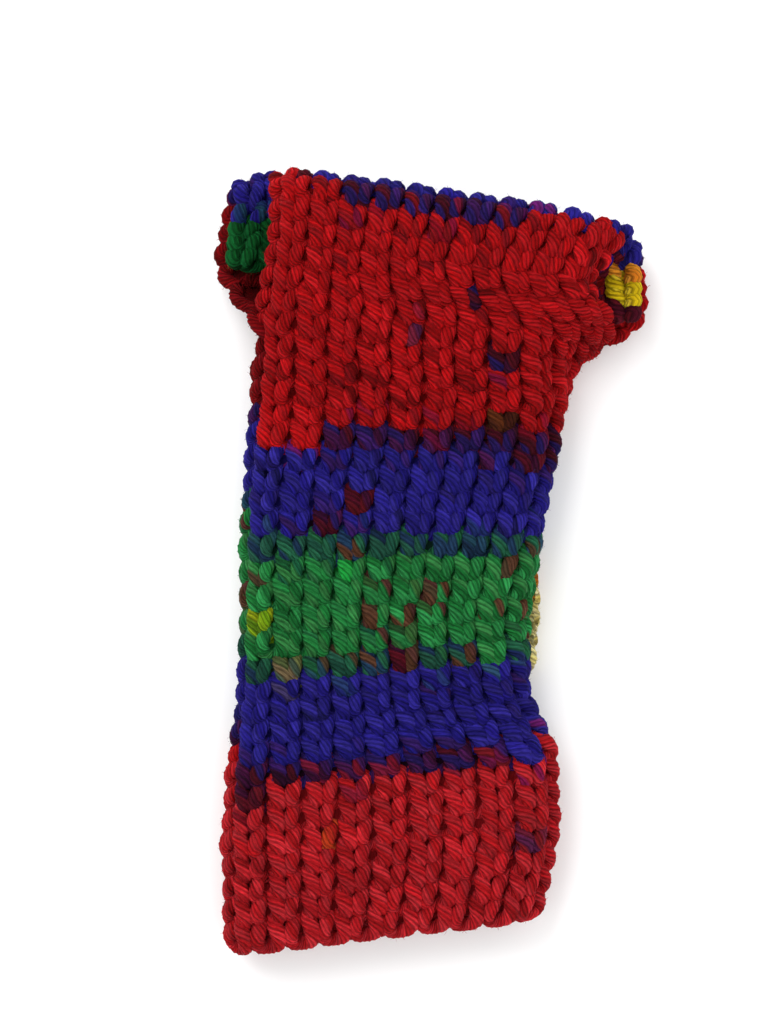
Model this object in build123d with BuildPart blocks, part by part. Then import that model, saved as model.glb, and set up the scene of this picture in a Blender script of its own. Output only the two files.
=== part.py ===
"""A hand-knitted fingerless glove, lying flat: a seamed tube of chunky knitting with a hem
turned in at the wrist, flared mouth corners and a slit for the thumb in the side seam.

Row frame: +X across the glove towards its side seam, +Y along the hand towards the wrist
mouth, +Z up out of the surface it lies on. The origin is under the middle of the glove.
"""

import os
from math import radians, tan

from build123d import *

# ---- fabric --------------------------------------------------------------------------
WALL = 5.5  # thickness of one layer of chunky stocking stitch
FACING = 4.7  # the turned-in layer, pressed a little thinner
LAYER_GAP = 0.3  # air between the outside layer and the turned-in layer
SETTLE = 0.15  # how far the underside is pressed flat by its own weight
SEAM_YARN = 2.8  # sewing yarn of the side seam, a little tighter than the knitting yarn

# ---- the tube: distance along Y, left edge, right edge, height of the flattened tube ---
STATIONS = [
    (-107.0, -52.0, 27.0, 17.5),
    (-97.0, -53.0, 28.5, 18.5),
    (-88.0, -54.0, 30.5, 20.0),
    (-72.0, -54.5, 32.0, 21.5),
    (-54.0, -53.0, 31.5, 22.0),
    (-36.0, -50.5, 28.0, 22.0),
    (-15.0, -50.0, 27.5, 22.0),
    (3.0, -50.0, 29.5, 22.0),
    (21.0, -49.0, 31.5, 22.0),
    (37.0, -47.5, 34.0, 22.0),
    (52.0, -46.5, 39.5, 25.0),
    (60.0, -48.0, 46.0, 28.0),
    (68.0, -51.5, 53.0, 31.0),
    (78.0, -55.5, 55.5, 32.0),
    (90.0, -55.5, 54.5, 32.0),
    (108.0, -53.0, 50.0, 31.0),
]

# ---- the two ends, both a little askew across the width --------------------------------
MOUTH_LEFT, MOUTH_SLOPE = 102.4, -0.135  # Y at x = -50, and its fall towards the seam
FINGER_LEFT, FINGER_SLOPE = -102.6, 0.125
EDGE_LONG = 6.0  # the rolled brim and the cast-on edge, measured along the hand
HEM_DEEP = 26.0  # how far the hem reaches inside the wrist, below the brim

# ---- the two creases where the glove bends on the hand ---------------------------------
WRIST_Y, KNUCKLE_Y = 32.0, -48.0
HINGE_Z = 11.0  # mid-height of the flattened tube there
BEND_DEG = 30.0  # each way
PLAY = 0.6  # half of the gap at the hinge line
BAND_PLAY = 0.25  # between a crease band and the fabric beside it

# ---- where the tube is cut into panels --------------------------------------------------
LEFT_CUT = -37.5  # left fold outside this
SEAM_CUT_HAND, SEAM_CUT_MOUTH = 15.0, 37.0  # seam side outside these
FLARE_START, FLARE_END = 42.0, 74.0
SLIT_LOW, SLIT_HIGH, SLIT_GAP = -37.0, 0.0, 5.0  # thumb slit along Y, and how far it gapes
MOUTH_MID_Z = 15.8  # mid-height of the mouth
FAR = 140.0
TALL = 40.0


def mouth_y(x):
    return MOUTH_LEFT + MOUTH_SLOPE * (x + 50.0)


def finger_y(x):
    return FINGER_LEFT + FINGER_SLOPE * (x + 50.0)


def across(height, x):
    """A point on a line that runs across the glove, parallel to the end that it is near."""
    return (x, height(x))


def tube(inset):
    """The flattened tube as a solid bar, drawn in by inset all round."""
    with BuildPart() as bar:
        for y, left, right, height in STATIONS:
            middle = ((left + right) / 2, y, height / 2 - SETTLE)
            with BuildSketch(Plane(origin=middle, x_dir=(1, 0, 0), z_dir=(0, -1, 0))):
                SlotOverall(right - left - 2 * inset, height - 2 * inset)
        loft(ruled=True)
    return bar.part


def layer(outer, inner):
    """One layer of fabric, between two insets of the tube."""
    with BuildPart() as fabric:
        add(tube(outer))
        add(tube(inner), mode=Mode.SUBTRACT)
    return fabric.part


def keep_outline(points, low, high):
    """Keeps what is inside an outline seen from above, between two heights."""
    with BuildSketch(Plane.XY.offset(low)) as outline:
        with BuildLine():
            Polyline(*points, close=True)
        make_face()
    extrude(outline.sketch, amount=high - low, mode=Mode.INTERSECT)


def keep_side(points):
    """Keeps what is inside an outline seen from the side."""
    with BuildSketch(Plane.YZ.offset(-FAR)) as outline:
        with BuildLine():
            Polyline(*points, close=True)
        make_face()
    extrude(outline.sketch, amount=2 * FAR, mode=Mode.INTERSECT)


def between_creases(low_crease, high_crease):
    """The side outline of one stiff stretch, pointed at each crease so that it can bend."""
    lean = (TALL - HINGE_Z) * tan(radians(BEND_DEG / 2))
    drop = HINGE_Z * tan(radians(BEND_DEG / 2)) + 0.1
    bottom = -0.1
    points = []
    if low_crease is None:
        points += [(-FAR, bottom), (-FAR, TALL)]
    else:
        y = low_crease + PLAY
        points += [(y + drop, bottom), (y, HINGE_Z), (y + lean, TALL)]
    if high_crease is None:
        points += [(FAR, TALL), (FAR, bottom)]
    else:
        y = high_crease - PLAY
        points += [(y - lean, TALL), (y, HINGE_Z), (y - drop, bottom)]
    return points


def crease_band(y):
    """The side outline of the fabric that creases, a bow tie about the hinge line."""
    waist = PLAY - BAND_PLAY
    lean = waist + (TALL - HINGE_Z) * tan(radians(BEND_DEG / 2))
    drop = waist + HINGE_Z * tan(radians(BEND_DEG / 2))
    return [
        (y - drop, 0.0),
        (y - waist, HINGE_Z),
        (y - lean, TALL),
        (y + lean, TALL),
        (y + waist, HINGE_Z),
        (y + drop, 0.0),
    ]


def save(piece, name):
    piece.part.label = name
    export_step(piece.part, f"parts/{name}.step")


os.makedirs("parts", exist_ok=True)

outside = layer(0.0, WALL)
turned_in = layer(WALL + LAYER_GAP, WALL + LAYER_GAP + FACING)
doubled = layer(0.0, WALL + LAYER_GAP + FACING)

WRIST = between_creases(WRIST_Y, None)
HAND = between_creases(KNUCKLE_Y, WRIST_Y)
FINGERS = between_creases(None, KNUCKLE_Y)


def brim_line(x):
    return mouth_y(x) - EDGE_LONG


def hem_line(x):
    return mouth_y(x) - EDGE_LONG - HEM_DEEP


def edge_line(x):
    return finger_y(x) + EDGE_LONG


# ---- outlines seen from above -----------------------------------------------------------
MIDDLE_WRIST = [
    (LEFT_CUT, WRIST_Y - 20),
    (SEAM_CUT_HAND, WRIST_Y - 20),
    (SEAM_CUT_HAND, FLARE_START),
    (SEAM_CUT_MOUTH, FLARE_END),
    across(brim_line, SEAM_CUT_MOUTH),
    across(brim_line, LEFT_CUT),
]
SEAM_WRIST = [
    (SEAM_CUT_HAND, WRIST_Y - 20),
    (70, WRIST_Y - 20),
    across(brim_line, 70),
    across(brim_line, SEAM_CUT_MOUTH),
    (SEAM_CUT_MOUTH, FLARE_END),
    (SEAM_CUT_HAND, FLARE_START),
]
LEFT_WRIST = [
    (-70, WRIST_Y - 20),
    (LEFT_CUT, WRIST_Y - 20),
    across(brim_line, LEFT_CUT),
    across(brim_line, -70),
]
BRIM = [
    across(brim_line, -70),
    across(brim_line, 70),
    across(mouth_y, 70),
    across(mouth_y, -70),
]
HEM = [
    across(hem_line, -70),
    across(hem_line, 70),
    across(brim_line, 70),
    across(brim_line, -70),
]
MIDDLE_HAND = [(LEFT_CUT, -80), (SEAM_CUT_HAND, -80), (SEAM_CUT_HAND, 60), (LEFT_CUT, 60)]
LEFT_HAND = [(-70, -80), (LEFT_CUT, -80), (LEFT_CUT, 60), (-70, 60)]
MIDDLE_FINGERS = [
    across(edge_line, LEFT_CUT),
    across(edge_line, SEAM_CUT_HAND),
    (SEAM_CUT_HAND, -20),
    (LEFT_CUT, -20),
]
LEFT_FINGERS = [across(edge_line, -70), across(edge_line, LEFT_CUT), (LEFT_CUT, -20), (-70, -20)]
SEAM_FINGERS = [
    across(edge_line, SEAM_CUT_HAND),
    across(edge_line, 70),
    (70, -20),
    (SEAM_CUT_HAND, -20),
]
EDGE = [
    across(finger_y, -70),
    across(finger_y, 70),
    across(edge_line, 70),
    across(edge_line, -70),
]

# ---- front and back panels of the three stiff stretches ---------------------------------
for stretch, outline, side, mid in (
    ("wrist", MIDDLE_WRIST, WRIST, MOUTH_MID_Z),
    ("hand", MIDDLE_HAND, HAND, HINGE_Z),
    ("finger", MIDDLE_FINGERS, FINGERS, HINGE_Z),
):
    for face, low, high in (("front", mid - 4.0, TALL), ("back", 0.0, mid - 4.0)):
        with BuildPart() as panel:
            add(outside)
            keep_outline(outline, low, high)
            keep_side(side)
        save(panel, f"{stretch}_{face}_panel")

# ---- the left fold, where the panel is simply folded round ------------------------------
for stretch, outline, side in (
    ("wrist", LEFT_WRIST, WRIST),
    ("hand", LEFT_HAND, HAND),
    ("finger", LEFT_FINGERS, FINGERS),
):
    with BuildPart() as fold:
        add(outside)
        keep_outline(outline, 0.0, TALL)
        keep_side(side)
    save(fold, f"{stretch}_left_fold")

# ---- the seam side: the two side edges of the panel, drawn together ---------------------
for name, outline, side in (
    ("wrist_seam_side", SEAM_WRIST, WRIST),
    ("finger_seam_side", SEAM_FINGERS, FINGERS),
):
    with BuildPart() as seam_side:
        add(outside)
        keep_outline(outline, 0.0, TALL)
        keep_side(side)
    save(seam_side, name)

for name, low, high in (
    ("hand_seam_above_thumb", SLIT_HIGH, 60.0),
    ("hand_seam_below_thumb", -80.0, SLIT_LOW),
):
    with BuildPart() as seam_side:
        add(outside)
        keep_outline(
            [(SEAM_CUT_HAND, low), (70, low), (70, high), (SEAM_CUT_HAND, high)], 0.0, TALL
        )
        keep_side(HAND)
    save(seam_side, name)

# ---- the two edges of the thumb slit, left unsewn ---------------------------------------
SLIT = [
    (SEAM_CUT_HAND, SLIT_LOW),
    (70, SLIT_LOW),
    (70, SLIT_HIGH),
    (SEAM_CUT_HAND, SLIT_HIGH),
]
for name, low, high in (
    ("thumb_slit_front_edge", HINGE_Z + SLIT_GAP / 2, TALL),
    ("thumb_slit_back_edge", 0.0, HINGE_Z - SLIT_GAP / 2),
):
    with BuildPart() as edge:
        add(outside)
        keep_outline(SLIT, low, high)
    save(edge, name)

# ---- the rolled brim of the wrist mouth, where the fabric turns inside ------------------
for name, low, high in (
    ("brim_front", MOUTH_MID_Z, TALL),
    ("brim_back", 0.0, MOUTH_MID_Z),
):
    with BuildPart() as brim:
        add(doubled)
        keep_outline(BRIM, low, high)
    save(brim, name)

# ---- the hem, turned inside the wrist ---------------------------------------------------
for name, low, high in (
    ("hem_front_facing", MOUTH_MID_Z, TALL),
    ("hem_back_facing", 0.0, MOUTH_MID_Z),
):
    with BuildPart() as facing:
        add(turned_in)
        keep_outline(HEM, low, high)
    save(facing, name)

# ---- the cast-on edge at the fingers ----------------------------------------------------
FINGER_MID_Z = 9.2
for name, low, high in (
    ("cast_on_edge_front", FINGER_MID_Z, TALL),
    ("cast_on_edge_back", 0.0, FINGER_MID_Z),
):
    with BuildPart() as cast_on:
        add(outside)
        keep_outline(EDGE, low, high)
    save(cast_on, name)

# ---- the fabric that creases, once at the wrist and once at the knuckles ----------------
for name, y in (("wrist_crease_band", WRIST_Y), ("knuckle_crease_band", KNUCKLE_Y)):
    with BuildPart() as band:
        add(outside)
        keep_outline([(-70, y - 20), (70, y - 20), (70, y + 20), (-70, y + 20)], 0.2, TALL)
        keep_side(crease_band(y))
    save(band, name)

# ---- the side seam's sewing yarn, in the hollow behind the seam -------------------------
# Each stretch ends short of a crease or of the thumb slit: (start, end) of its middle line.
SEAM_RUNS = {
    "seam_yarn_wrist": ((26.0, 37.5), (29.5, 50.0), (34.5, 58.0)),
    "seam_yarn_hand": ((21.9, 2.0), (23.4, 15.0), (24.4, 27.5)),
    "seam_yarn_fingers": ((23.6, -88.0), (24.6, -72.0), (24.2, -53.5)),
}
SEAM_HEIGHTS = {
    "seam_yarn_wrist": (11.0, 12.2, 13.6),
    "seam_yarn_hand": (11.0, 11.0, 11.0),
    "seam_yarn_fingers": (10.0, 10.8, 11.0),
}
for name, run in SEAM_RUNS.items():
    points = [(x, y, z) for (x, y), z in zip(run, SEAM_HEIGHTS[name])]
    with BuildPart() as yarn:
        with BuildLine():
            path = FilletPolyline(*points, radius=18.0)
        with BuildSketch(Plane(origin=path @ 0, z_dir=path % 0)):
            Circle(SEAM_YARN / 2)
        sweep(path=path)
    save(yarn, name)
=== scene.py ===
import math

import bpy
import numpy as np
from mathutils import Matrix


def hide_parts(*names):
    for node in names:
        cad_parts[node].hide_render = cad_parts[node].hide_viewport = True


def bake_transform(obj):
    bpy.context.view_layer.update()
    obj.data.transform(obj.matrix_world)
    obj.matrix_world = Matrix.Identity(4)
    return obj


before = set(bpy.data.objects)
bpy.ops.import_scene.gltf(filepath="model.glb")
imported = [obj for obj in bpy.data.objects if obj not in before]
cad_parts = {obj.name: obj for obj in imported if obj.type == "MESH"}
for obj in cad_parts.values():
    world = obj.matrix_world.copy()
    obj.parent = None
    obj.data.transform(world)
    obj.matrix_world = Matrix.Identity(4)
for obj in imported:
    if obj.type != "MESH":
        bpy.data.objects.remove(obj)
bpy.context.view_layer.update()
bpy.ops.object.select_all(action="DESELECT")

# ---- Camera, floor and light -------------------------------------------------------------
# The glove lies on a pale matt table under soft light from a large window above its left
# shoulder, and is looked at from straight above with a long lens.
MM = 0.001
VIEW_MIDDLE = (-12.6, 13.0)  # what the lens points at, in mm
VIEW_TALL = 266.2  # height of the picture, in mm, at the glove's upper layer
UPPER_LAYER = 22.0  # height of that layer above the table, in mm
VIEW_FROM = 900.0  # from the lens down to that layer, in mm
SENSOR = 36  # size that the lens's length is reckoned against, in mm
TABLE_WIDE = 6.0  # in metres, so that its edges stay out of every view

bpy.ops.object.camera_add(
    location=(VIEW_MIDDLE[0] * MM, VIEW_MIDDLE[1] * MM, (VIEW_FROM + UPPER_LAYER) * MM)
)
camera = bpy.context.object
camera.data.lens = SENSOR * VIEW_FROM / VIEW_TALL
camera.data.clip_start = 0.05
bpy.context.scene.camera = camera
bpy.context.scene.view_settings.view_transform = "Standard"


def linear(hex_colour):
    """An sRGB colour such as "A01820" as three linear numbers."""
    found = []
    for i in (0, 2, 4):
        c = int(hex_colour[i : i + 2], 16) / 255
        found.append(c / 12.92 if c <= 0.04045 else ((c + 0.055) / 1.055) ** 2.4)
    return found


def add_node(tree, kind, settings=None, links=None):
    """Adds a shader node, with its settings by name and its inputs by number or name."""
    node = tree.nodes.new(kind)
    for name, value in (settings or {}).items():
        setattr(node, name, value)
    for socket, value in (links or {}).items():
        if isinstance(value, bpy.types.NodeSocket):
            tree.links.new(value, node.inputs[socket])
        else:
            node.inputs[socket].default_value = value
    return node


bpy.ops.mesh.primitive_plane_add(size=TABLE_WIDE, location=(0, 0, 0))
table = bpy.context.object
table.name = "table_top"
# matt laminate: an even white with no clear reflections
paint = bpy.data.materials.new("matt_white_laminate")
paint.use_nodes = True
shader = paint.node_tree.nodes["Principled BSDF"]
shader.inputs["Base Color"].default_value = (*linear("FBFBFB"), 1)
shader.inputs["Roughness"].default_value = 0.8
table.data.materials.append(paint)

world = bpy.data.worlds.new("soft_room")
bpy.context.scene.world = world
world.use_nodes = True
world.node_tree.nodes["Background"].inputs["Color"].default_value = (1, 1, 1, 1)
world.node_tree.nodes["Background"].inputs["Strength"].default_value = 1.0

# Each light's place in metres, turn in degrees, size in metres and power in watts.
for place, turn, size, power in (
    ((-0.45, 0.55, 0.75), (-38, -30, 0), 0.7, 6.5),
    ((0.7, -0.3, 0.6), (25, 48, 0), 0.8, 2.0),
):
    bpy.ops.object.light_add(
        type="AREA", location=place, rotation=[math.radians(a) for a in turn]
    )
    bpy.context.object.data.size = size
    bpy.context.object.data.energy = power

# ---- How the fabric lies -----------------------------------------------------------------
# The glove is one panel of chunky stocking stitch, folded round into a flattened tube and
# seamed along its right side. Its last rows roll over and lie inside the wrist, where both
# corners of the mouth gape. Columns are counted round the tube and rows from the fingers.
COLUMNS = 21
ACROSS = 10  # columns from the left fold to the right side, on the front
SEAM = 11.5  # the seam lies between columns 11 and 12
LEFT_VENT = 0.5  # where the mouth gapes on the left, between columns 0 and 1
CLOSED_TO = 26.3  # the last row before the corners of the mouth part
ROLL_FROM = 32.5  # where the fabric starts to roll over to the inside
ROLL_LONG, ROLL_DEEP = 8.0, 4.7  # half sizes of the roll, along and through the glove
EDGE_IN = 3.0  # from a free edge's outline to its last loops
LAST_ROW = 39
ROW_PITCH = 5.6  # on the roll and inside
HALF_MOUTH = 55
HEM_SQUASH = (0.66, 0.55)  # how far the hem's rows bunch up, at the left and right
SLIT_ROWS = (10, 16)  # the seam is left open here for the thumb
SLIT_OUT = 6.3  # how far the slit's back edge lies out from under its front edge
SLIT_MIDDLE, SLIT_HALF = 13.2, 3.4  # its middle row and half its length, in rows
SLIT_FADES = (15, 3)  # behind this column the fabric lies in line, over this many columns
SEAM_CREEP = 0.75  # columns by which the seam creeps towards the side, beside the thumb
CREEP_MIDDLE, CREEP_HALF = 14.5, 5.5  # in rows
MIDDLE = 3.1  # from the outside of the fabric to its middle

# Row by row: distance along the glove, in mm, at two lines down its left and right.
LINE_LEFT, LINE_RIGHT = -45, 29
ROW_AT = (-2.0, 0.0, 7.0, 12.0, 18.0, 23.0, 32.5, 33.5)
ROW_LEFT = (-113.0, -99.4, -57.5, -30.7, 8.1, 36.4, 93.3, 99.5)
ROW_RIGHT = (-103.0, -91.6, -50.7, -24.4, 8.1, 35.1, 82.6, 87.7)

# The tube's left and right sides and its height, at distances along the glove.
SIDE_AT = (-110, -102, -97, -88, -72, -54, -44, -36, -15, 3, 21, 37, 52, 60, 70)
SIDE_LEFT = (
    -50.3, -53.3, -55.2, -55.8, -56, -55.2, -53.8, -52.3, -51.2, -51.3, -50.2, -48.8, -47.5,
    -48.3, -50,
)
SIDE_RIGHT = (
    24.5, 27, 29.4, 32, 34.4, 34, 29.6, 26.8, 26.6, 29.7, 32.3, 35.7, 41.5, 45, 47,
)
HEIGHT = (15, 17, 18.5, 20, 21.5, 22, 22, 22, 22, 22, 22, 22, 25, 28, 31)

# The open mouth: left and right edges of the front and of the back layer, row by row.
MOUTH_AT = (26, 27, 28, 29, 30, 31, 32.5, 34, 35.5, 37, 40)
FRONT_LEFT = (-46.5, -46.5, -45.8, -44.8, -43.6, -42.7, -42.2, -42.2, -42.2, -42, -42)
FRONT_RIGHT = (43, 46, 49.5, 48, 43.2, 41.6, 46.5, 52, 52, 46, 44)
BACK_LEFT = (-47.5, -48.6, -51.5, -55, -56.8, -55.6, -54.4, -52, -51, -52.5, -53.5)
BACK_RIGHT = (41, 45, 50.5, 55, 56.3, 56, 55.5, 54.5, 54, 54, 54)
MOUTH_HEIGHT = 32.0
PART_ROWS = 3.6  # rows over which the layers part
FRONT_WIDENS, FRONT_WIDENS_OVER = 21.0, 9.0  # first row, and over how many rows
BACK_WIDENS = 25.3
RISE_FROM, RISE_OVER, RISE = 26.0, 5.0, 5.5  # the front layer lifts: rows, rows, mm
CORNER_FROM, CORNER_SHARE = 0.72, 0.28  # shares of half a layer's width
FRONT_SAGS, BACK_LIFTS = 4.5, 2.5  # how far the layers' corners bend together
DROOP_FROM, DROOP_OVER = 30, 4  # the corners hang back from the crest: first row, rows
FRONT_DROOP, BACK_DROOP_RIGHT, BACK_DROOP_LEFT = 0.5, 3.2, 2.6
SHOULDER_DROOP, SHOULDER_AT, SHOULDER_WIDE = 1.6, 43, 7  # beside the right corner


def smooth(x):
    """Rises gently from 0 to 1 as x does."""
    x = np.clip(x, 0, 1)
    return x * x * (3 - 2 * x)


def lay(u, v, front):
    """The middle of the fabric, in mm, at column u and row v, on the front or back layer."""
    turn = np.mod(u, COLUMNS)
    flat_v = np.minimum(v, ROLL_FROM)
    # the tube: share of the way round, where 0 is the left fold and 1 the right side
    row_l = np.interp(flat_v, ROW_AT, ROW_LEFT)
    row_r = np.interp(flat_v, ROW_AT, ROW_RIGHT)
    down = (row_l + row_r) / 2
    left = np.interp(down, SIDE_AT, SIDE_LEFT)
    right = np.interp(down, SIDE_AT, SIDE_RIGHT)
    tall = np.interp(down, SIDE_AT, HEIGHT)
    creep = SEAM_CREEP * np.exp(-(((flat_v - CREEP_MIDDLE) / CREEP_HALF) ** 2))
    share_seam = SEAM / (ACROSS + creep)
    behind = share_seam + (turn - SEAM) / (COLUMNS - SEAM) * (2 - share_seam)
    share = np.where(turn <= SEAM, turn / (ACROSS + creep), behind)
    below = share > 1
    share = np.where(below, 2 - share, share)
    bend = tall / 2 - MIDDLE
    flat = right - left - tall
    along = share * (flat + math.pi * bend)
    quarter = math.pi / 2 * bend
    left_turn = along / bend
    right_turn = (along - quarter - flat) / bend
    x = np.where(
        along < quarter,
        left + MIDDLE + bend * (1 - np.cos(left_turn)),
        np.where(
            along < quarter + flat,
            left + MIDDLE + bend + along - quarter,
            right - MIDDLE - bend + bend * np.sin(right_turn),
        ),
    )
    up = np.where(
        along < quarter,
        np.sin(left_turn) * bend,
        np.where(right_turn > 0, np.cos(right_turn) * bend, bend),
    )
    z = tall / 2 + np.where(below, -up, up)
    # the mouth: front and back layers part at both corners, each flat between its edges
    edge_l = np.where(
        front, np.interp(v, MOUTH_AT, FRONT_LEFT), np.interp(v, MOUTH_AT, BACK_LEFT)
    )
    edge_r = np.where(
        front, np.interp(v, MOUTH_AT, FRONT_RIGHT), np.interp(v, MOUTH_AT, BACK_RIGHT)
    )
    # columns beside the left corner are counted on from their own layer's others
    round_u = np.where(turn < SEAM / 2, turn + COLUMNS, turn)
    front_u = np.where(turn > SEAM + ACROSS / 2, turn - COLUMNS, turn)
    across = np.where(
        front,
        (front_u - LEFT_VENT) / (SEAM - LEFT_VENT),
        (LEFT_VENT + COLUMNS - round_u) / (LEFT_VENT + COLUMNS - SEAM),
    )
    open_x = edge_l + EDGE_IN + across * (edge_r - edge_l - 2 * EDGE_IN)
    near_edge = np.clip(np.abs(2 * across - 1) - CORNER_FROM, 0, 1) / CORNER_SHARE
    open_z = np.where(
        front,
        MOUTH_HEIGHT - MIDDLE - FRONT_SAGS * near_edge**2,
        MIDDLE + BACK_LIFTS * near_edge**2,
    )
    risen = smooth((v - RISE_FROM) / RISE_OVER)
    open_z = np.where(front, open_z - (1 - risen) * RISE, open_z)
    part = smooth((v - CLOSED_TO) / PART_ROWS)
    spread = np.where(
        front,
        smooth((v - FRONT_WIDENS) / FRONT_WIDENS_OVER),
        smooth((v - BACK_WIDENS) / PART_ROWS),
    )
    slit = np.exp(-(((v - SLIT_MIDDLE) / SLIT_HALF) ** 4))
    slit = slit * np.clip((SLIT_FADES[0] - turn) / SLIT_FADES[1], 0, 1)
    x = x + np.where(front | (turn < SEAM), 0, SLIT_OUT * slit)
    x = x + (open_x - x) * spread
    z = z + (open_z - z) * part
    y = row_l + (row_r - row_l) * (x - LINE_LEFT) / (LINE_RIGHT - LINE_LEFT)
    droop = smooth((v - DROOP_FROM) / DROOP_OVER)
    back_droop = np.where(across > 0.5, BACK_DROOP_RIGHT, BACK_DROOP_LEFT)
    y = y - droop * near_edge**2 * np.where(front, FRONT_DROOP, back_droop)
    shoulder = np.exp(-(((x - SHOULDER_AT) / SHOULDER_WIDE) ** 2))
    y = y - SHOULDER_DROOP * droop * shoulder
    # the roll at the mouth, and the hem inside it
    length = (v - ROLL_FROM) * ROW_PITCH
    half_turn = math.pi * math.sqrt((ROLL_LONG**2 + ROLL_DEEP**2) / 2)
    turned = np.clip(length / half_turn, 0, 1) * math.pi
    squash = np.interp(x, (-HALF_MOUTH, HALF_MOUTH), HEM_SQUASH)
    y = y + ROLL_LONG * np.sin(turned) - squash * np.maximum(length - half_turn, 0)
    inward = ROLL_DEEP * (1 - np.cos(turned))
    z = z + np.where(front, -inward, inward)
    return np.stack([x, y, z], axis=-1)


NEAR = 0.02  # a small part of a stitch, for finding which way the fabric faces


def stand(u, v, h, front):
    """A point h mm out from the middle of the fabric, and the fabric's normal there."""
    middle = lay(u, v, front)
    du = lay(u + NEAR, v, front) - lay(u - NEAR, v, front)
    dv = lay(u, v + NEAR, front) - lay(u, v - NEAR, front)
    normal = np.cross(du, dv)
    normal /= np.linalg.norm(normal, axis=-1, keepdims=True)
    return middle + normal * h[..., None], normal


# ---- The stitches ------------------------------------------------------------------------
# Each row is one run of plied yarn that goes round the glove in loops: up a leg, over the
# head behind the next row, and down the other leg, so that the legs stand out as a V.
YARN = 2.02  # radius of the yarn, in mm
HALF_THICK = 1.25  # how far a leg stands out from the middle of the fabric
LOOP_TALL = 0.72  # half height of a loop, in rows
LEAN_LEFT, LEAN_RIGHT = 0.18, 0.17  # how far the two legs lean, in columns
PINCH = 0.03  # how far a loop's legs are pinched together, in columns
SKEW = 0.02  # how far both legs are pulled along the row, in columns
LEG_OVER = 0.05  # how far the left leg stands out over the right one, in mm
CROWN = 0.4  # how far the middle of a stitch stands out beyond its sides, in mm
FOOT_OUT = 0.85  # how far a loop's foot stands out beyond its head, in mm
LEG_FATTER = 0.04  # the left leg's twist is looser, so it is this much thicker
UNEVEN = (0.045, 0.07, 0.2, 0.05)  # of a hand's work: columns, rows, mm, share of thickness
STEPS = 28  # along one stitch
PLIES = 4
PLY_SHAPE = (0.9, 1.0, 0.97, 1.01)  # a groove, then the back of one ply
PLY_SHADE = (0.77, 1.02, 0.91, 1.02)  # the groove lies in shade
FLAT, WIDE = 0.92, 1.06  # the yarn is pressed a little flat in the fabric
AROUND = PLIES * len(PLY_SHAPE)
LAY_LONG = 8.6  # length of yarn in which a ply goes once round
FIRST_FRONT, LAST_FRONT, FIRST_BACK, LAST_BACK = 1, 11, 12, 0  # the columns at the corners
chance = np.random.default_rng(7)
ROWS = LAST_ROW + 1
wander = chance.normal(size=(ROWS, COLUMNS, 4))


def stitch_path(row, column, t, front):
    """Points of one stitch for t from 0 to 2 pi, with the radius of the yarn there."""
    here = wander[row, column]
    before = (here + wander[row, column - 1]) / 2
    after = (here + wander[row, (column + 1) % COLUMNS]) / 2
    mix = np.sin(t / 2)[:, None] ** 2
    off = np.where((t < math.pi)[:, None], before, after) * (1 - mix) + here * mix
    leg_l = np.maximum(np.sin(t), 0)
    leg_r = np.maximum(-np.sin(t), 0)
    lean = np.where(t < math.pi, LEAN_LEFT, LEAN_RIGHT)
    d = t / (2 * math.pi) - 0.5 + lean * np.sin(2 * t)
    d = d - PINCH * np.sin(2 * math.pi * d) + SKEW * (leg_l + leg_r)
    h = -HALF_THICK * np.cos(2 * t) + LEG_OVER * leg_l - LEG_OVER * leg_r
    h = h + CROWN * np.cos(2 * math.pi * d) + FOOT_OUT * np.cos(t) - CROWN
    u = column + d + UNEVEN[0] * off[:, 0]
    v = row + 0.5 - LOOP_TALL * np.cos(t) + UNEVEN[1] * off[:, 1]
    place, normal = stand(u, v, h + UNEVEN[2] * off[:, 2], np.full(t.shape, front))
    thick = YARN * (1 + LEG_FATTER * leg_l - LEG_FATTER * leg_r + UNEVEN[3] * off[:, 3])
    return place, normal, thick


def is_front(column):
    """Whether a column lies on the front layer where the mouth is open."""
    return LEFT_VENT < column < SEAM


# ---- The dye -----------------------------------------------------------------------------
# The yarn is space-dyed acrylic: red, plum, blue, bottle green and green in turn, with a
# short stretch of orange and yellow, which falls near the seam. Each ply takes the dye a
# little differently, so one stitch shows several shades, and some plies carry flecks.
DYES = {
    "red": ("B00B10", "B81016", "A4080C", "B41218"),
    "soft_red": ("B81820", "C2222A", "AE141A", "BE262E"),
    # a dark red: real flecks in the red yarn, and painted shade on the back layer's red rows
    # and inside the mouth's right corner, where they lie in shadow
    "dark_red": ("780408", "82060C", "6A0306", "7E0810"),
    "plum": ("36082C", "421244", "241454", "48081A"),
    "wine": ("4A081C", "560A1A", "3C0A2A", "5A0E1A"),
    "blue": ("261E84", "2E2690", "1E1676", "2C2484"),
    "navy": ("1C125C", "261C6A", "181454", "30185A"),
    "bottle": ("184838", "205240", "1C3654", "226044"),
    "green": ("227E3C", "2C8C48", "1A7032", "368444"),
    "deep_green": ("08501F", "0E5C28", "06481A", "146630"),
    "lime": ("6A9210", "7EA014", "587E10", "8C9A12"),
    "olive": ("4E5A34", "5E6238", "3E4E40", "6A5A40"),
    "brown": ("563422", "5E3C2A", "4A3A28", "54302A"),
    "umber": ("4A2010", "54260E", "401A0C", "4A1C10"),
    "orange": ("D07A1E", "DA8A26", "C86A20", "D89030"),
    "yellow": ("DCBC14", "E4C61C", "D2AC12", "E0C030"),
    "pale_yellow": ("EAD884", "F0E098", "E2CC70", "EEDCA0"),
    "mauve": ("6A1830", "741C34", "8A1820", "5A1C44"),
    "bright_green": ("1EA040", "28AC48", "189038", "3CB050"),
    "rust": ("B83818", "C04420", "B01A18", "BA2A1C"),
}
FRONT_DYES = (
    (0, "soft_red"), (7, "plum"), (8, "blue"), (12, "bottle"), (13, "green"),
    (17, "bottle"), (18, "blue"), (22, "plum"), (23, "red"), (33, "plum"), (34, "blue"),
    (38, "deep_green"),
)
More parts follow.
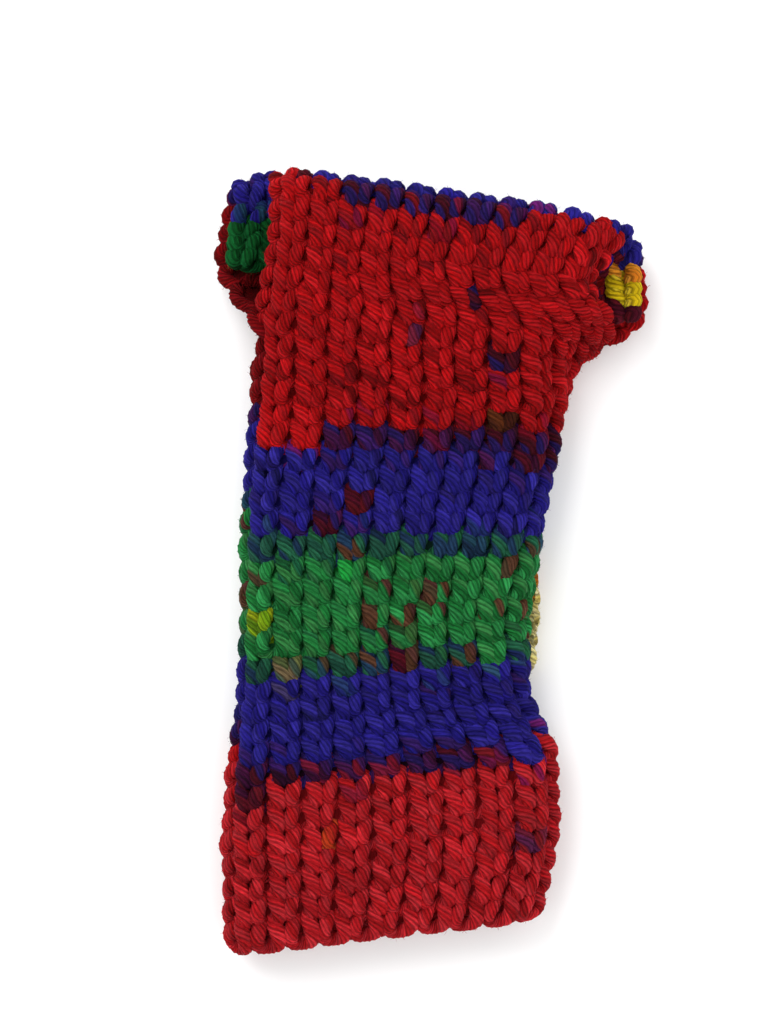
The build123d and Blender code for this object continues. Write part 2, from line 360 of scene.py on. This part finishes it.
BACK_DYES = (
    (0, "soft_red"), (8, "red"), (9, "plum"), (10, "navy"), (11, "blue"), (13, "bottle"),
    (14, "green"), (15, "brown"), (16, "green"), (19, "bottle"), (20, "blue"), (23, "plum"),
    # from row 24 the back layer's red is painted shade: the same yarn as the front, drawn
    # darker where it lies in shadow at the open mouth
    (24, "dark_red"), (33, "plum"), (34, "blue"), (37, "deep_green"),
)
SEAM_DYES = (
    (0, "soft_red"), (8, "plum"), (9, "navy"), (11, "pale_yellow"), (15, "orange"),
    (17, "green"), (20, "blue"), (22, "plum"), (24, "red"), (33, "plum"), (34, "blue"),
)
# Stitches that took another dye, by row and column: their left and right legs.
ODD = {
    # the fingers' end
    (3, 9): ("mauve", "mauve"), (4, 3): ("soft_red", "rust"), (6, 1): ("wine", "wine"),
    (6, 2): ("soft_red", "soft_red"), (7, 9): ("blue", "blue"),
    (7, 10): ("soft_red", "soft_red"),
    # the hand
    (12, 2): ("olive", "olive"), (12, 6): ("wine", "brown"), (12, 9): ("green", "green"),
    (14, 1): ("lime", "lime"), (14, 5): ("brown", "green"), (14, 6): ("green", "brown"),
    (14, 10): ("green", "brown"), (15, 7): ("brown", "green"),
    (16, 4): ("bright_green", "green"), (16, 9): ("green", "brown"),
    (18, 3): ("plum", "plum"), (19, 4): ("wine", "wine"), (21, 8): ("plum", "blue"),
    (21, 9): ("plum", "wine"), (21, 10): ("plum", "plum"), (22, 1): ("red", "red"),
    (22, 2): ("red", "red"),
    # the wrist
    (23, 8): ("umber", "umber"), (26, 8): ("plum", "wine"), (27, 5): ("red", "mauve"),
    (29, 7): ("red", "plum"),
    # the brim
    (33, 1): ("red", "red"), (33, 2): ("red", "red"), (33, 9): ("red", "red"),
    (33, 10): ("red", "red"), (33, 11): ("red", "red"), (34, 1): ("red", "wine"),
    (34, 10): ("blue", "blue"), (34, 11): ("red", "blue"),
    # inside the right corner of the mouth
    (36, 11): ("wine", "wine"), (36, 12): ("orange", "yellow"), (36, 13): ("orange", "wine"),
    (37, 10): ("wine", "wine"), (37, 11): ("wine", "wine"), (37, 12): ("yellow", "yellow"),
    # dark_red here is painted shade, for hem rows that lie in shadow in this corner
    (37, 13): ("orange", "wine"), (38, 10): ("wine", "wine"), (38, 11): ("wine", "dark_red"),
    (38, 12): ("yellow", "wine"), (38, 13): ("wine", "wine"), (39, 10): ("dark_red", "wine"),
    (39, 11): ("wine", "wine"), (39, 12): ("wine", "wine"), (39, 13): ("wine", "wine"),
}
FLECKS = {"green": "brown", "bottle": "brown", "blue": "navy", "red": "dark_red"}
FLECKED = 0.05  # share of plies with a fleck
UNEVEN_DYE = 0.16  # spread of the plies' depth of colour
LIGHTEST, DARKEST = 1.5, 0.6
LATE, EARLY = 0.14, 0.2  # shares of plies that hold the last row's dye or have the next one's
MIX_OWN, MIX_OTHER = 0.55, 0.3
CHANGE_OVER = 0.6  # where one leg's dye turns to the other's, as part of the stitch's round


def stripe(table, row):
    """The dye of a row, from a table of the rows where each stripe starts."""
    return [name for first, name in table if row >= first][-1]


def dye_of(row, column):
    """The dyes of a stitch's left and right legs."""
    if (row, column) in ODD:
        return ODD[row, column]
    if column in (FIRST_BACK, FIRST_BACK + 1):
        name = stripe(SEAM_DYES, row)
    elif is_front(column):
        name = stripe(FRONT_DYES, row)
    else:
        name = stripe(BACK_DYES, row)
    return name, name


PALETTE = {name: np.array([linear(c) for c in shades]) for name, shades in DYES.items()}
shade = 1 + UNEVEN_DYE * chance.normal(size=(ROWS, COLUMNS, PLIES))
fleck = chance.random(size=(ROWS, COLUMNS, PLIES)) < FLECKED
late = chance.random(size=(ROWS, COLUMNS, PLIES, 2))


def ply_colours(row, column, t):
    """The colour of each ply along one stitch: (points, plies, 3)."""
    here = []
    beside = [dye_of(r, column) for r in (row, max(row - 1, 0), min(row + 1, LAST_ROW))]
    depth = np.clip(shade[row, column], DARKEST, LIGHTEST)[:, None]
    for leg in (0, 1):
        name = beside[0][leg]
        colours = PALETTE[name] * depth
        if (row, column) not in ODD:
            for other, share in ((1, LATE), (2, EARLY)):
                swap = late[row, column, :, other - 1] < share
                mixed = MIX_OWN * colours + MIX_OTHER * PALETTE[beside[other][leg]]
                colours = np.where(swap[:, None], mixed, colours)
        spot = PALETTE[FLECKS.get(name, name)]
        here.append(np.where(fleck[row, column][:, None], spot, colours))
    mix = smooth((t - math.pi) / CHANGE_OVER + 0.5)[:, None, None]
    return here[0] * (1 - mix) + here[1] * mix


# ---- The yarn ----------------------------------------------------------------------------
# A soft four-ply acrylic, plied loosely and slightly fluffy. The plies show as slanting
# ridges, each of two finer threads about 1.6 mm apart, and the fibres give it no gloss.
THREADS = 8  # round the yarn
FIBRES_ROUND, FIBRES_PER_MM = 20, 0.8  # drawn far coarser than real ones, so that they show
FUZZ_HIGH = 0.0009  # in metres
yarn = bpy.data.materials.new("soft_plied_acrylic")
yarn.use_nodes = True
tree = yarn.node_tree
shader = tree.nodes["Principled BSDF"]
dye_and_shade = add_node(tree, "ShaderNodeAttribute", {"attribute_name": "dye_and_shade"})
# u goes once round the yarn with the twist taken out, and v is mm along it
uv = add_node(tree, "ShaderNodeUVMap", {"uv_map": "yarn"})
fine = add_node(
    tree,
    "ShaderNodeMapping",
    None,
    {"Vector": uv.outputs[0], "Scale": (FIBRES_ROUND, FIBRES_PER_MM, 1)},
)
fibres = add_node(
    tree,
    "ShaderNodeTexNoise",
    {"noise_dimensions": "2D"},
    {"Vector": fine.outputs[0], "Scale": 1.0, "Detail": 4.0, "Roughness": 0.62},
)
# a wave node draws one band for each 2 pi / 20 of its scale
threads = add_node(
    tree,
    "ShaderNodeTexWave",
    {"wave_type": "BANDS", "bands_direction": "X"},
    {"Vector": uv.outputs[0], "Scale": THREADS * 2 * math.pi / 20, "Distortion": 0.6},
)
# inputs 1 to 4 of a map range node: least and most taken in, least and most given out
tone = add_node(
    tree,
    "ShaderNodeMapRange",
    None,
    {"Value": fibres.outputs[0], 1: 0.3, 2: 0.72, 3: 0.7, 4: 1.38},
)
# painted shade: the colour falls to 0.6 of the dye in the grooves between the finer threads
thread_groove_shade = add_node(
    tree,
    "ShaderNodeMapRange",
    None,
    {"Value": threads.outputs["Fac"], 1: 0.0, 2: 0.5, 3: 0.6, 4: 1.03},
)
both = add_node(
    tree,
    "ShaderNodeMath",
    {"operation": "MULTIPLY"},
    {0: tone.outputs[0], 1: thread_groove_shade.outputs[0]},
)
colour = add_node(
    tree,
    "ShaderNodeVectorMath",
    {"operation": "SCALE"},
    {"Vector": dye_and_shade.outputs["Color"], "Scale": both.outputs[0]},
)
height = add_node(
    tree,
    "ShaderNodeMath",
    {"operation": "MULTIPLY_ADD"},
    {0: fibres.outputs[0], 1: 1.6, 2: threads.outputs["Fac"]},
)
bump = add_node(
    tree,
    "ShaderNodeBump",
    None,
    {"Strength": 1.0, "Distance": FUZZ_HIGH, "Height": height.outputs[0]},
)
tree.links.new(colour.outputs[0], shader.inputs["Base Color"])
tree.links.new(bump.outputs[0], shader.inputs["Normal"])
# light passes about 0.6 mm into the fluff
shader.inputs["Roughness"].default_value = 0.92
shader.inputs["Specular IOR Level"].default_value = 0.08
shader.inputs["Subsurface Weight"].default_value = 0.4
shader.inputs["Subsurface Scale"].default_value = 0.0006
shader.inputs["Subsurface Radius"].default_value = (1.0, 1.0, 1.0)


def strand(place, normal, thick, colours, start):
    """One run of yarn as rings of points, with their colours and their mm along the yarn."""
    step = np.linalg.norm(np.diff(place, axis=0), axis=1)
    s = start + np.concatenate([[0], np.cumsum(step)])
    ahead = np.gradient(place, axis=0)
    ahead /= np.linalg.norm(ahead, axis=1, keepdims=True)
    side = np.cross(ahead, normal)
    side /= np.linalg.norm(side, axis=1, keepdims=True)
    out = np.cross(side, ahead)
    # the rings turn with the twist, so that the edges between them follow the plies
    turns = np.arange(AROUND) / AROUND
    angle = 2 * math.pi * (turns[None, :] - s[:, None] / LAY_LONG)
    radius = thick[:, None] * np.tile(PLY_SHAPE, PLIES)
    ring = (
        place[:, None, :]
        + (FLAT * radius * np.cos(angle))[..., None] * out[:, None, :]
        + (WIDE * radius * np.sin(angle))[..., None] * side[:, None, :]
    )
    # the colour in each ply's groove is darkened by PLY_SHADE: painted shade
    dye_and_shade = np.repeat(colours, AROUND // PLIES, axis=1) * np.tile(PLY_SHADE, PLIES)[:, None]
    return ring, dye_and_shade, s


# The fluff: fine fibres that stand out of the yarn, drawn thicker than real ones, which
# are about 0.02 mm. Each is a bent three-sided spike of seven corners.
HAIR_EACH_MM = 2.4  # fibres for each mm of yarn
HAIR_THICK = 0.045  # radius, in mm
HAIR_SHORT, HAIR_MORE = 0.25, 0.6  # each half is from 0.25 to 0.85 mm long
HAIR_DEEP = 0.15  # how far its foot is in the yarn, in mm
HAIR_LIGHT = 1.15  # fibres catch more light than the yarn
HAIR_LOOPS = np.array([2, 1, 0, 0, 1, 4, 3, 1, 2, 5, 4, 2, 0, 3, 5, 3, 4, 6, 4, 5, 6, 5, 3, 6])
HAIR_SIZES = np.array([3, 4, 4, 4, 3, 3, 3])
HAIR_CORNERS = 7


def hair(ring, dye_and_shade):
    """Fibres on one run of yarn: their corners (fibres, 7, 3) and their colours."""
    n = len(ring)
    count = int(HAIR_EACH_MM * n)
    i = chance.integers(1, n - 1, count)
    j = chance.integers(0, AROUND, count)
    root = ring[i, j]
    middle = ring[i].mean(axis=1)
    out = root - middle
    out /= np.linalg.norm(out, axis=1, keepdims=True)
    ahead = ring[i + 1].mean(axis=1) - middle
    ahead /= np.linalg.norm(ahead, axis=1, keepdims=True)
    across = np.cross(out, ahead)
    spray = chance.normal(size=(count, 4, 1))
    first_way = 0.75 * out + 0.6 * (ahead * spray[:, 0] + across * spray[:, 1])
    next_way = 0.25 * out + 0.8 * (ahead * spray[:, 2] + across * spray[:, 3])
    size = HAIR_SHORT + HAIR_MORE * chance.random(size=(count, 1)) ** 2
    knee = root + first_way * size
    tip = knee + next_way * size
    root = root - HAIR_DEEP * out
    spikes = []
    for at in (root, knee):
        for k in range(3):
            a = 2 * math.pi * k / 3
            spikes.append(at + HAIR_THICK * (math.cos(a) * ahead + math.sin(a) * across))
    spikes.append(tip)
    return np.stack(spikes, axis=1), np.minimum(dye_and_shade[i, j] * HAIR_LIGHT, 1.0)


def yarn_piece(name, strands):
    """Builds one piece from its strands: tubes with closed ends, a UV map and the dye colours
    with their painted shade.
    """
    points, colours, loops, sizes, uvs = [], [], [], [], []
    first = 0
    for ring, dye_and_shade, s in strands:
        n = len(ring)
        points.append(ring.reshape(-1, 3))
        colours.append(dye_and_shade.reshape(-1, 3))
        i = np.arange(n - 1)[:, None] * AROUND + first
        j = np.arange(AROUND)[None, :]
        k = (j + 1) % AROUND
        quads = np.stack([i + j, i + AROUND + j, i + AROUND + k, i + k], axis=-1)
        corners = np.empty(quads.shape + (2,))
        corners[..., 0] = (np.arange(AROUND)[:, None] + np.array([0, 0, 1, 1])) / AROUND
        corners[..., 1] = s[:-1, None, None]
        corners[..., 1:3, 1] = s[1:, None, None]
        loops.append(quads.reshape(-1))
        sizes.append(np.full(quads.shape[0] * quads.shape[1], 4))
        uvs.append(corners.reshape(-1, 2))
        low = first + np.arange(AROUND)
        high = first + (n - 1) * AROUND + np.arange(AROUND)[::-1]
        for cap, at in ((low, 0), (high, -1)):
            loops.append(cap)
            sizes.append([AROUND])
            uvs.append(np.tile([0.0, s[at]], (AROUND, 1)))
        first += n * AROUND
    for ring, dye_and_shade, _ in strands:
        hair_points, hair_colours = hair(ring, dye_and_shade)
        count = len(hair_points)
        points.append(hair_points.reshape(-1, 3))
        colours.append(np.repeat(hair_colours, HAIR_CORNERS, axis=0))
        start = (first + HAIR_CORNERS * np.arange(count))[:, None]
        loops.append((start + HAIR_LOOPS).reshape(-1))
        sizes.append(np.tile(HAIR_SIZES, count))
        uvs.append(np.tile([0.25, 0.0], (count * len(HAIR_LOOPS), 1)))
        first += HAIR_CORNERS * count
    mesh = bpy.data.meshes.new(name)
    points = np.concatenate(points)
    points[:, 2] = np.maximum(points[:, 2], 0.0)  # the table presses the lowest fibres flat
    loops, sizes = np.concatenate(loops), np.concatenate(sizes)
    mesh.vertices.add(len(points))
    mesh.vertices.foreach_set("co", (points * MM).astype(np.float32).ravel())
    mesh.loops.add(len(loops))
    mesh.loops.foreach_set("vertex_index", loops.astype(np.int32))
    mesh.polygons.add(len(sizes))
    mesh.polygons.foreach_set(
        "loop_start", np.concatenate([[0], np.cumsum(sizes)[:-1]]).astype(np.int32)
    )
    mesh.update(calc_edges=True)
    mesh.polygons.foreach_set("use_smooth", np.ones(len(sizes), bool))
    layer = mesh.uv_layers.new(name="yarn")
    layer.data.foreach_set("uv", np.concatenate(uvs).astype(np.float32).ravel())
    dye_and_shade = mesh.attributes.new("dye_and_shade", "FLOAT_COLOR", "POINT")
    rgba = np.ones((len(points), 4), np.float32)
    rgba[:, :3] = np.concatenate(colours)
    dye_and_shade.data.foreach_set("color", rgba.ravel())
    mesh.validate()
    mesh.materials.append(yarn)
    piece = bpy.data.objects.new(name, mesh)
    bpy.context.scene.collection.objects.link(piece)
    return piece


TURN_OUT, TURN_UP = 0.2, 1.3  # how far the edge's loops stand out: columns, mm
TURN_STEPS = 9
STITCH_YARN = 27.0  # yarn in one stitch, in mm


def edge_turn(row, column, way):
    """The yarn's turn into the next row, at a free edge of the knitting."""
    a = np.linspace(0, 1, TURN_STEPS)[1:]
    a = a if way > 0 else a[::-1]
    bulge = np.sin(math.pi * a)
    u = column + way * (0.5 + TURN_OUT * bulge)
    v = row + 0.5 - LOOP_TALL + a
    h = -HALF_THICK + TURN_UP * bulge
    place, normal = stand(u, v, h, np.full(a.shape, is_front(column)))
    colours = ply_colours(row, column, np.full(a.shape, math.pi * (1 + way / 2)))
    return place, normal, np.full(a.shape, YARN), colours


def knit(row, columns):
    """One row's yarn over neighbouring columns, in order round the glove."""
    t = np.linspace(0, 2 * math.pi, STEPS + 1)
    parts = []
    open_left = row > CLOSED_TO
    free = open_left or SLIT_ROWS[0] <= row <= SLIT_ROWS[1]
    if free and columns[0] in (FIRST_FRONT, FIRST_BACK):
        parts.append(edge_turn(row, columns[0], -1))
    for column in columns:
        place, normal, thick = stitch_path(row, column, t, is_front(column))
        colours = ply_colours(row, column, t)
        parts.append([x[1:] for x in (place, normal, thick, colours)])
    if free and (columns[-1] == LAST_FRONT or (columns[-1] == LAST_BACK and open_left)):
        parts.append(edge_turn(row, columns[-1], 1))
    place, normal, thick, colours = (np.concatenate(x) for x in zip(*parts))
    return strand(place, normal, thick, colours, columns[0] * STITCH_YARN)


# ---- The knitted pieces ------------------------------------------------------------------
# One piece of knitting for each named stretch of the glove: which rows and columns it has,
# the yarn colour it takes its finish from, and the bodies that it lies on or bends between.
HAND_TO_WRIST = ("hand", "wrist", (0, 0.016, 0.011), (0, 0.048, 0.011))
HAND_TO_FINGERS = ("hand", "fingers", (0, -0.032, 0.011), (0, -0.064, 0.011))
FRONT, LEFT, RIGHT = tuple(range(2, 9)), (20, 0, 1), (9, 10, 11, 12)
BACK = tuple(range(13, 20))
FRONT_MOUTH = tuple(range(1, 12))
BACK_MOUTH = tuple(range(12, 21)) + (0,)
ALL_ROUND = tuple(range(12, 21)) + tuple(range(0, 12))
KNITTING = (
    ("cast_on_edge_front", (0, 0), tuple(range(1, 11)), "red_knit", HAND_TO_FINGERS),
    ("cast_on_edge_back", (0, 0), tuple(range(11, 21)) + (0,), "red_knit", HAND_TO_FINGERS),
    ("finger_front_panel", (1, 6), FRONT, "red_knit", HAND_TO_FINGERS),
    ("finger_left_fold", (1, 6), LEFT, "red_knit", HAND_TO_FINGERS),
    ("finger_seam_side", (1, 6), RIGHT, "red_knit", HAND_TO_FINGERS),
    ("finger_back_panel", (1, 6), BACK, "red_knit", HAND_TO_FINGERS),
    ("knuckle_crease_band", (7, 8), ALL_ROUND, "plum_knit", HAND_TO_FINGERS),
    ("hand_front_panel", (9, 14), FRONT, "green_knit", HAND_TO_FINGERS),
    ("hand_back_panel", (9, 14), BACK, "green_knit", HAND_TO_FINGERS),
    ("hand_left_fold", (9, 14), LEFT, "green_knit", HAND_TO_FINGERS),
    ("hand_seam_below_thumb", (9, 9), RIGHT, "blue_knit", HAND_TO_FINGERS),
    ("thumb_slit_front_edge", (10, 16), (9, 10, 11), "green_knit", HAND_TO_FINGERS),
    ("thumb_slit_back_edge", (10, 16), (12,), "yellow_yarn", HAND_TO_FINGERS),
    ("hand_front_upper", (15, 21), FRONT, "blue_knit", HAND_TO_WRIST),
    ("hand_back_upper", (15, 21), BACK, "blue_knit", HAND_TO_WRIST),
    ("hand_left_fold_upper", (15, 21), LEFT, "blue_knit", HAND_TO_WRIST),
    ("hand_seam_above_thumb", (17, 21), RIGHT, "blue_knit", HAND_TO_WRIST),
    ("wrist_crease_band", (22, 22), ALL_ROUND, "plum_knit", HAND_TO_WRIST),
    ("wrist_front_panel", (23, 32), FRONT, "red_knit", HAND_TO_WRIST),
    ("wrist_back_panel", (23, 32), BACK, "red_knit", HAND_TO_WRIST),
    ("wrist_left_fold", (23, 32), LEFT, "red_knit", HAND_TO_WRIST),
    ("wrist_seam_side", (23, 32), RIGHT, "red_knit", HAND_TO_WRIST),
    ("brim_front", (33, 35), FRONT_MOUTH, "blue_knit", HAND_TO_WRIST),
    ("brim_back", (33, 35), BACK_MOUTH, "blue_knit", HAND_TO_WRIST),
    ("hem_front_facing", (36, 39), FRONT_MOUTH, "green_knit", HAND_TO_WRIST),
    ("hem_back_facing", (36, 39), BACK_MOUTH, "green_knit", HAND_TO_WRIST),
)
# The hand crosses both creases, so its wrist half is pieces of its own.
ADDED = ("hand_front_upper", "hand_back_upper", "hand_left_fold_upper")


def runs_of(row, columns):
    """Splits a row's columns at the seam and, at the mouth, at its left corner."""
    runs, now = [], []
    for column in columns:
        cut = column == FIRST_BACK or (column == FIRST_FRONT and row > CLOSED_TO)
        if now and (cut or column != (now[-1] + 1) % COLUMNS):
            runs.append(now)
            now = []
        now.append(column)
    return runs + [now]


for name, (low, high), columns, slot, bend in KNITTING:
    strands = [
        knit(row, run) for row in range(low, high + 1) for run in runs_of(row, columns)
    ]
    piece = yarn_piece(name + "_knit", strands)
    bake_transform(piece)
    if name not in ADDED:
        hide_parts(name)

# ---- The inside of the fabric ------------------------------------------------------------
# Deep in the knitting the yarn lies so close that nothing shows through it. A thin sheet in
# the middle of the fabric stands for that mass of yarn, and measures the cloth: the panel is
# 21 stitches wide between the edge stitches that the seam takes in.
CLOTH_OUT, CLOTH_IN = -0.2, -1.0  # its two faces, in mm from the middle of the fabric
CLOTH_LOW = 0.3  # it stays this far above the table, in mm
CLOTH_FINE = 3  # faces for each stitch and each row
CLOTH_EDGE = 0.02  # it stops this far inside its columns
# the sheet is coloured with its yarn's dye at half strength: painted shade, for the yarn deep
# in the fabric that little light reaches
INSIDE_PAINTED_SHADE = 0.5


def cloth(name, first_u, last_u, first_v, last_v, slot):
    """A thin closed sheet in the fabric, from one column and row to another."""
    u = np.linspace(first_u, last_u, int((last_u - first_u) * CLOTH_FINE) + 1)
    v = np.linspace(first_v, last_v, int((last_v - first_v) * CLOTH_FINE) + 1)
    grid_u, grid_v = (g.ravel() for g in np.meshgrid(u, v))
    front = grid_u >= LEFT_VENT + COLUMNS
    wide, tall = len(u), len(v)
    faces = [
        stand(grid_u, grid_v, np.full(grid_u.shape, h), front)[0]
        for h in (CLOTH_OUT, CLOTH_IN)
    ]
    points = np.concatenate(faces)
    points[:, 2] = np.clip(points[:, 2], CLOTH_LOW, None)
    i, j = (g.ravel() for g in np.meshgrid(np.arange(wide - 1), np.arange(tall - 1)))
    a = j * wide + i
    top = np.stack([a, a + 1, a + wide + 1, a + wide], axis=1)
    under = top[:, ::-1] + wide * tall
    rim = list(range(wide)) + [k * wide + wide - 1 for k in range(1, tall)]
    rim += [(tall - 1) * wide + k for k in range(wide - 2, -1, -1)]
    rim += [k * wide for k in range(tall - 2, 0, -1)]
    rim = np.array(rim)
    after = np.roll(rim, -1)
    wall = np.stack([after, rim, rim + wide * tall, after + wide * tall], axis=1)
    mesh = bpy.data.meshes.new(name)
    mesh.from_pydata((points * MM).tolist(), [], np.concatenate([top, under, wall]).tolist())
    mesh.uv_layers.new(name="yarn")
    dye_and_shade = mesh.attributes.new("dye_and_shade", "FLOAT_COLOR", "POINT")
    rgba = np.ones((len(points), 4), np.float32)
    column = np.mod(np.round(grid_u), COLUMNS).astype(int)
    row = np.clip(np.floor(grid_v + 0.2), 0, LAST_ROW).astype(int)
    inner_shaded = [PALETTE[dye_of(r, c)[0]][0] * INSIDE_PAINTED_SHADE for r, c in zip(row, column)]
    rgba[:, :3] = np.tile(np.array(inner_shaded), (2, 1))
    dye_and_shade.data.foreach_set("color", rgba.ravel())
    mesh.polygons.foreach_set("use_smooth", np.ones(len(mesh.polygons), bool))
    mesh.materials.append(yarn)
    piece = bpy.data.objects.new(name, mesh)
    bpy.context.scene.collection.objects.link(piece)
    return piece


HALFWAY = 14.9  # the row where the sheets change from one crease to the other
TO_FINGERS = [name for name, _, _, _, bend in KNITTING if bend is HAND_TO_FINGERS]
TO_WRIST = [name for name, _, _, _, bend in KNITTING if bend is HAND_TO_WRIST]
UPPER_BACK = [name for name in TO_WRIST if "back" in name or "fold" in name]
UPPER_FRONT = [name for name in TO_WRIST if name not in UPPER_BACK]
for name, columns, rows, bend, knitted in (
    ("lower_cloth", (SEAM, SEAM + COLUMNS), (0.2, HALFWAY), HAND_TO_FINGERS, TO_FINGERS),
    ("upper_back_cloth", (SEAM, LEFT_VENT + COLUMNS), (HALFWAY, 39.4), HAND_TO_WRIST,
     UPPER_BACK),
    ("upper_front_cloth", (LEFT_VENT + COLUMNS, SEAM + COLUMNS), (HALFWAY, 39.4),
     HAND_TO_WRIST, UPPER_FRONT),
):
    piece = cloth(name, columns[0] + CLOTH_EDGE, columns[1] - CLOTH_EDGE, *rows, "red_knit")
    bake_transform(piece)

# ---- The side seam -----------------------------------------------------------------------
# The seam is sewn with the knitting yarn in mattress stitch: short bars across the join, one
# for each row, drawn down between the two edges.
SEWING_STEPS = 14  # for each row
SEWING_WIDE, SEWING_DEEP = 0.12, 0.9  # half sizes of its wave: columns, mm
SEWING_IN = -0.6  # it lies this far into the fabric, in mm
SEWING_THIN = 0.7  # pulled tight, it is thinner than the knitting's yarn
for name, rows, bend, colour_name in (
    ("seam_yarn_fingers", (0.3, 9.6), HAND_TO_FINGERS, "soft_red"),
    ("seam_yarn_hand", (17.2, 22.0), HAND_TO_WRIST, "blue"),
    ("seam_yarn_wrist", (22.2, 26.8), HAND_TO_WRIST, "red"),
):
    count = int((rows[1] - rows[0]) * SEWING_STEPS)
    v = np.linspace(*rows, count)
    wave = 2 * math.pi * v
    u = SEAM + SEWING_WIDE * np.sin(wave)
    h = SEWING_IN + SEWING_DEEP * np.cos(wave)
    place, normal = stand(u, v, h, np.full(count, True))
    colours = np.repeat(PALETTE[colour_name][None], count, axis=0)
    tube = strand(place, normal, np.full(count, YARN * SEWING_THIN), colours, 0.0)
    piece = yarn_piece(name + "_sewn", [tube])
    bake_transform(piece)
    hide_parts(name)

# ---- The scene brought up to date --------------------------------------------------------
bpy.context.view_layer.update()
